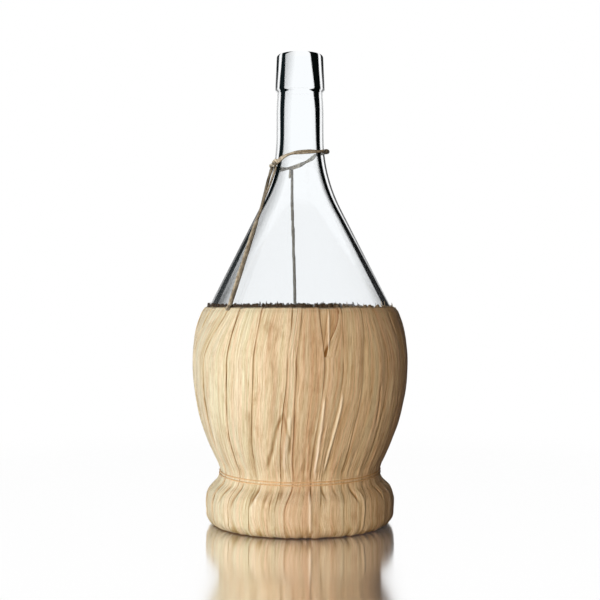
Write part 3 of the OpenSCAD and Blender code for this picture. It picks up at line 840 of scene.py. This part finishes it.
def leaf_material():
    """Dried leaf: long pale fibres, browner veins, a tone and tint of its own for each strip."""
    material, tree = new_material("dried_leaf")
    coords = add_node(tree, "ShaderNodeUVMap", uv_map="leaf")
    place = add_node(tree, "ShaderNodeTexCoord")
    tone, tint, dark, shade_and_smears, pale = [
        add_node(tree, "ShaderNodeAttribute", attribute_name=name).outputs["Fac"] for name in LEAF_MARKS]
    shader = add_node(tree, "ShaderNodeBsdfPrincipled", Roughness=0.6, Specular_IOR_Level=0.03)
    out = add_node(tree, "ShaderNodeOutputMaterial")

    def fibres(across, along_leaf, detail, rough=0.6):
        """Noise drawn out along the leaf; the scales are patterns per mm."""
        scale = add_node(tree, "ShaderNodeMapping")
        scale.inputs["Scale"].default_value = (across, along_leaf, 1)
        pattern = add_node(tree, "ShaderNodeTexNoise", Scale=1.0, Detail=detail, Roughness=rough)
        wire(tree, coords.outputs[0], scale.inputs[0])
        wire(tree, scale.outputs[0], pattern.inputs["Vector"])
        return pattern.outputs["Fac"]

    def blended(a, b, amount, kind="MULTIPLY"):
        node = add_node(tree, "ShaderNodeMix", data_type="RGBA", blend_type=kind)
        if isinstance(amount, float):
            node.inputs["Factor"].default_value = amount
        else:
            wire(tree, amount, node.inputs["Factor"])
        for socket, value in ((node.inputs["A"], a), (node.inputs["B"], b)):
            if isinstance(value, tuple):
                socket.default_value = (*value, 1)
            else:
                wire(tree, value, socket)
        return node.outputs["Result"]

    def ranged(value, low, high, to_low, to_high):
        node = add_node(tree, "ShaderNodeMapRange", From_Min=low, From_Max=high, To_Min=to_low,
                        To_Max=to_high)
        wire(tree, value, node.inputs["Value"])
        return node.outputs[0]

    broad = fibres(0.22, 0.009, 4)
    middle = fibres(1.5, 0.030, 6, 0.68)
    thin = fibres(5.5, 0.11, 5, 0.7)
    hues = fibres(0.55, 0.014, 3)
    stains = fibres(0.16, 0.05, 6, 0.65)
    veins = fibres(0.9, 0.016, 2)
    base = colour_stops(tree, middle, (0.28, (0.58, 0.44, 0.29)), (0.72, (0.93, 0.82, 0.65)),
                        (0.50, (0.78, 0.65, 0.48)))
    patches = colour_stops(tree, broad, (0.30, (0.78, 0.68, 0.56)), (0.62, (1, 1, 1)),
                           (0.45, (0.97, 0.93, 0.88)))
    hue = colour_stops(tree, hues, (0.38, (1.0, 0.93, 0.90)), (0.60, (0.95, 1.0, 0.96)))
    base = blended(blended(base, patches, 0.9), hue, 1.0)
    for pattern, low, brown, high, amount in ((thin, 0.36, (0.60, 0.48, 0.36), 0.53, 0.8),
                                              (veins, 0.27, (0.46, 0.31, 0.18), 0.33, 0.85),
                                              (stains, 0.26, (0.58, 0.42, 0.28), 0.44, 0.6)):
        base = blended(base, colour_stops(tree, pattern, (low, brown), (high, (1, 1, 1))), amount)
    base = blended(base, (0.88, 0.70, 0.58), ranged(tint, 0, 1, 0, 1))
    base = blended(base, (0.93, 1.0, 1.0), ranged(tint, 0, -1, 0, 1))
    # Painted shade in seams, gaps and furrows, together with the brown smears
    base = blended(base, (0.42, 0.28, 0.15), ranged(shade_and_smears, 0, 1, 0, 1))
    # Painted highlight on the pressed ridges
    base = blended(base, (1.0, 0.90, 0.74), ranged(pale, 0.1, 0.9, 0, 0.6), "MIX")
    toned = add_node(tree, "ShaderNodeVectorMath", operation="SCALE")
    wire(tree, base, toned.inputs[0])
    wire(tree, ranged(tone, -1, 1, 0.84, 1.10), toned.inputs["Scale"])
    height = add_node(tree, "ShaderNodeSeparateXYZ")
    wire(tree, place.outputs["Object"], height.inputs[0])
    low = add_node(tree, "ShaderNodeMath", operation="MULTIPLY")
    wire(tree, ranged(height.outputs["Z"], 0.009, 0.002, 0, 0.9), low.inputs[0])
    wire(tree, ranged(stains, 0.50, 0.60, 0, 1), low.inputs[1])
    hem = blended(toned.outputs[0], (0.62, 0.52, 0.30), low.outputs[0])
    # Painted contact shadow: the lowest mm of the leaf darkens to brown where it meets the table
    hem = blended(hem, (0.50, 0.33, 0.18), ranged(height.outputs["Z"], 0.0008, 0.0003, 0, 1))
    # Painted shade: the rim tips are mixed towards near-black by their dark mark
    tips_in_shade = blended(hem, (0.055, 0.038, 0.026), dark, "MIX")
    wire(tree, tips_in_shade, shader.inputs["Base Color"])
    heights = add_node(tree, "ShaderNodeMath", operation="ADD")
    wire(tree, middle, heights.inputs[0])
    wire(tree, thin, heights.inputs[1])
    bump = add_node(tree, "ShaderNodeBump", Strength=0.7, Distance=0.0004)
    wire(tree, heights.outputs[0], bump.inputs["Height"])
    wire(tree, bump.outputs[0], shader.inputs["Normal"])
    wire(tree, shader.outputs[0], out.inputs[0])
    return material


leaf = leaf_material()
for k in range(STRIP_COUNT):
    number = f"{k + 1:02d}"
    add_piece(f"leaf_strip_{number}", strip_mesh(k), [leaf], f"cover_strip_{number}")


# Cords. Two plies of twisted straw round the neck, knotted at the left, with thin strands from
# the knot and from the cord's back down to the hoop in the rim.
def straw_material(name, pale, dark, grain):
    """Twisted straw or thread: colour broken up along the fibres, darker where tone is negative."""
    material, tree = new_material(name)
    coords = add_node(tree, "ShaderNodeTexCoord")
    pattern = add_node(tree, "ShaderNodeTexNoise", Scale=grain, Detail=4.0, Roughness=0.65)
    tone = add_node(tree, "ShaderNodeAttribute", attribute_name="tone")
    shade = add_node(tree, "ShaderNodeMapRange", From_Min=-1, To_Min=0.22)
    toned = add_node(tree, "ShaderNodeVectorMath", operation="SCALE")
    shader = add_node(tree, "ShaderNodeBsdfPrincipled", Roughness=0.7, Specular_IOR_Level=0.15)
    bump = add_node(tree, "ShaderNodeBump", Strength=0.5, Distance=0.0002)
    out = add_node(tree, "ShaderNodeOutputMaterial")
    wire(tree, coords.outputs["Object"], pattern.inputs["Vector"])
    wire(tree, colour_stops(tree, pattern.outputs["Fac"], (0.3, dark), (0.7, pale)), toned.inputs[0])
    wire(tree, tone.outputs["Fac"], shade.inputs["Value"])
    wire(tree, shade.outputs[0], toned.inputs["Scale"])
    wire(tree, toned.outputs[0], shader.inputs["Base Color"])
    wire(tree, pattern.outputs["Fac"], bump.inputs["Height"])
    wire(tree, bump.outputs[0], shader.inputs["Normal"])
    wire(tree, shader.outputs[0], out.inputs[0])
    return material


# A direction that no cord runs in
ASIDE = Vector((0.21, -0.13, 0.97))


def twisted(path, ply_r, spread, pitch, plies, phase=0.0):
    """Paths of the plies that wind round a path of points in mm."""
    runs = [[] for _ in range(plies)]
    length = 0.0
    for i, point in enumerate(path):
        ahead = (path[min(i + 1, len(path) - 1)] - path[max(i - 1, 0)]).normalized()
        side = ahead.cross(ASIDE).normalized()
        up = side.cross(ahead)
        if i:
            length += (point - path[i - 1]).length
        for j in range(plies):
            turn = TAU * (length / pitch + j / plies) + phase
            runs[j].append(point + spread * (math.cos(turn) * side + math.sin(turn) * up))
    return [(run, ply_r) for run in runs]


def cord_mesh(runs, sides=8, tone=lambda point, number: 1.0):
    """Tubes with closed, tapered ends along lists of points in mm, which are numbered from 0."""
    bm = bmesh.new()
    tone_layer = bm.verts.layers.float.new("tone")
    for number, (run, radius) in enumerate(runs):
        rings = []
        side = ASIDE
        for i, point in enumerate(run):
            ahead = (run[min(i + 1, len(run) - 1)] - run[max(i - 1, 0)]).normalized()
            side = (side - ahead * side.dot(ahead)).normalized()
            up = ahead.cross(side)
            fullness = 1 + 0.16 * noise.noise(point / 2.6)
            if i in (0, len(run) - 1):
                fullness *= 0.5
            ring = []
            for j in range(sides):
                turn = TAU * j / sides
                reach = radius * fullness * (math.cos(turn) * side + math.sin(turn) * up)
                ring.append(bm.verts.new((point + reach) * MM))
                ring[-1][tone_layer] = tone(point, number)
            rings.append(ring)
        for a, b in zip(rings, rings[1:]):
            for j in range(sides):
                bm.faces.new((a[j], a[(j + 1) % sides], b[(j + 1) % sides], b[j]))
        bm.faces.new(rings[0][::-1])
        bm.faces.new(rings[-1])
    bm.normal_update()
    return bm


def glass_radius(z):
    """Outer radius of the flask's shoulder, throat or neck at a height."""
    centre = throat_centre(NECK_R, 0)
    if z > centre[1]:
        return NECK_R
    if z > centre[1] - THROAT_R * math.sin(SHOULDER):
        return centre[0] - math.sqrt(THROAT_R ** 2 - (centre[1] - z) ** 2)
    return shoulder_x(z, 0)


def at_bearing(bearing, r, z):
    a = math.radians(bearing)
    return Vector((r * math.sin(a), -r * math.cos(a), z))


CORD_R = 1.2
CORD_GAP = 0.25
KNOT_BEARING = -57.0
cord_straw = straw_material("cord_straw", (0.72, 0.64, 0.50), (0.20, 0.155, 0.11), 600.0)
# Bearing and height of points that the cord passes on its way round the neck
LOOP_POINTS = [(-57, 211.3), (-42, 214.8), (-22, 216.9), (0, 217.7), (30, 218.3), (60, 219.2),
               (85, 219.8), (110, 219.8), (130, 219.0), (160, 216.4), (185, 213.6), (200, 212.6),
               (240, 211.4), (303, 211.3)]


def loop_z(bearing):
    """Height of the cord at a bearing, with the corners between its points rounded off."""
    bearing = (bearing - KNOT_BEARING) % 360 + KNOT_BEARING
    heights = []
    for offset in (-12, -6, 0, 6, 12):
        at = min(LOOP_POINTS[-1][0], max(LOOP_POINTS[0][0], bearing + offset))
        for (b0, z0), (b1, z1) in zip(LOOP_POINTS, LOOP_POINTS[1:]):
            if b0 <= at <= b1:
                heights.append(mix(z0, z1, (at - b0) / (b1 - b0)))
                break
    return sum(heights) / len(heights)


def loop_point(bearing):
    return at_bearing(bearing, glass_radius(loop_z(bearing)) + CORD_R + CORD_GAP, loop_z(bearing))


def loop_tone(point, number):
    """The cord is pale at the knot, darker brown at the right and patchy at the back. The palest
    tone at the back left is partly painted light on a stretch whose front lies in shade.
    """
    bearing = math.degrees(math.atan2(point.x, -point.y))
    if number == 2:
        return -0.9
    if bearing < -157:
        return 1.0
    return (1 - blend(-45, 0, bearing) - 0.7 * blend(35, 75, bearing) + 1.2 * blend(110, 135, bearing)
            - 1.1 * blend(160, 170, bearing))


loop_path = [loop_point(KNOT_BEARING + 4 + 352 * i / 160) for i in range(161)]
plies = twisted(loop_path, 0.74, 0.56, 34.0, 2, 1.2)
swelling = ([loop_point(bearing) + at_bearing(bearing, 0.4, 0) for bearing in range(66, 100, 3)], 1.3)
add_piece("neck_cord", cord_mesh(plies + [swelling], tone=loop_tone), [cord_straw], "neck_loop")

knot_centre = at_bearing(KNOT_BEARING, glass_radius(loop_z(KNOT_BEARING)) + 1.9, loop_z(KNOT_BEARING))
knot_out = at_bearing(KNOT_BEARING, 1, 0)
knot_side = Vector((-knot_out.y, knot_out.x, 0))
KNOT_SIZE = 0.62
knot_path = []
for i in range(73):
    t = TAU * i / 72
    a, b, c = math.sin(t) + 2 * math.sin(2 * t), math.cos(t) - 2 * math.cos(2 * t), -math.sin(3 * t)
    knot_path.append(knot_centre + KNOT_SIZE * (a * knot_side + b * Vector((0, 0, 1.3)) + c * knot_out))


def knot_tone(point, number):
    return 1.0 if point.z > knot_centre.z + 0.3 else -0.8


knot = cord_mesh([(knot_path, 0.64)], tone=knot_tone)
add_piece("cord_knot", knot, [cord_straw], "neck_knot")

HOOK_R = HOOP_R + 0.1 + 0.45
FRONT_BEARING = -45.0
BACK_BEARING = 183.4
BACK_TOP_BEARING = 200.0


def over_hoop(bearing, degrees, side):
    a = math.radians(degrees)
    sideways = Vector((math.cos(math.radians(bearing)), math.sin(math.radians(bearing)), 0))
    place = at_bearing(bearing, fold_c[0] + HOOK_R * math.cos(a), fold_c[1] + HOOK_R * math.sin(a))
    return place + side * sideways


def hanging(start, end, count):
    return [start.lerp(end, i / count) for i in range(count)]


STRAND_STEPS = 60
front_top = knot_centre + Vector((-0.6, -0.6, -2.2))
across = Vector((math.cos(math.radians(FRONT_BEARING)), math.sin(math.radians(FRONT_BEARING)), 0))
strands = []
for side, start_side in ((0.75, 1.9), (-0.75, -1.6)):
    run = hanging(front_top + across * start_side, over_hoop(FRONT_BEARING, 100, side), STRAND_STEPS)
    centre_line = hanging(front_top, over_hoop(FRONT_BEARING, 100, 0), STRAND_STEPS)
    for i, point in enumerate(run):
        share = i / STRAND_STEPS
        together = blend(0.0, 0.45, share)
        turn = TAU * share * 2.0
        near = centre_line[i] + across * (0.95 * side / 0.75 * mix(math.cos(turn), 1, blend(20, 34, i)))
        run[i] = point.lerp(near, together * (1 - blend(0.9, 1.0, share)))
    run += [over_hoop(FRONT_BEARING, a, side) for a in range(90, -80, -12)]
    strands.append((run, 0.66 if side > 0 else 0.92))


def front_tone(point, number):
    """The right strand is the browner one at the rim, the left one at the knot."""
    low = blend(200, 165, point.z)
    return mix((-0.2, -0.7)[number], (-0.8, 0.35)[number], low) + 0.7 * noise.noise(point / 6)


add_piece("front_strands", cord_mesh(strands, tone=front_tone), [cord_straw], "front_stay")

back_top = at_bearing(BACK_TOP_BEARING, glass_radius(loop_z(BACK_TOP_BEARING)) + 2 * CORD_R + CORD_GAP,
                      loop_z(BACK_TOP_BEARING) + 0.6)
back_run = hanging(back_top, over_hoop(BACK_BEARING, 100, 0), STRAND_STEPS)
back_run += [over_hoop(BACK_BEARING, a, 0) for a in range(90, -80, -12)]
frayed_end = [back_top + Vector((-1.5, 0.3, -0.3 - 0.8 * i)) for i in range(9)]
back_strand = cord_mesh([(back_run, 1.0), (frayed_end, 1.0)], tone=lambda point, n: 1.0 if n else -0.6)
add_piece("back_strand", back_strand, [cord_straw], "back_stay")

# Waist thread. Brown waxed thread of two plies, wound twice round the strips above the foot,
# a little lower at the front than at the back.
THREAD_PITCH = 1.6
THREAD_TURNS = 2
THREAD_SLOPE = 1.3
THREAD_STEPS = 240
thread_brown = straw_material("waxed_thread", (0.76, 0.52, 0.30), (0.48, 0.28, 0.13), 900.0)
thread_path = []
for i in range(THREAD_STEPS * THREAD_TURNS + 1):
    t = i / THREAD_STEPS
    bearing = 180 + 360 * t
    z = WAIST_Z - THREAD_DROP - THREAD_SLOPE * math.cos(math.radians(bearing))
    z += THREAD_PITCH * (t - THREAD_TURNS / 2)
    r = waist_c[0] - math.sqrt(WAIST_ARC_R ** 2 - (z - WAIST_Z) ** 2) + 0.4
    r += 0.10 * noise.noise(Vector((t * 30, 0, 4)))
    z += 0.16 * noise.noise(Vector((t * 14, 2, 0)))
    thread_path.append(at_bearing(bearing, r, z))
add_piece("waist_thread", cord_mesh(twisted(thread_path, 0.26, 0.17, 2.4, 2), 6), [thread_brown],
          "waist_binding")

# Hidden straw. The hoop in the rim and the bolster in the foot keep their solids' shape.
bundle = straw_material("bundled_straw", (0.66, 0.50, 0.28), (0.30, 0.20, 0.10), 350.0)
for node, material in (("rim_hoop", cord_straw), ("foot_ring", bundle)):
    solid = bpy.data.objects[node]
    solid.data.materials.clear()
    solid.data.materials.append(material)
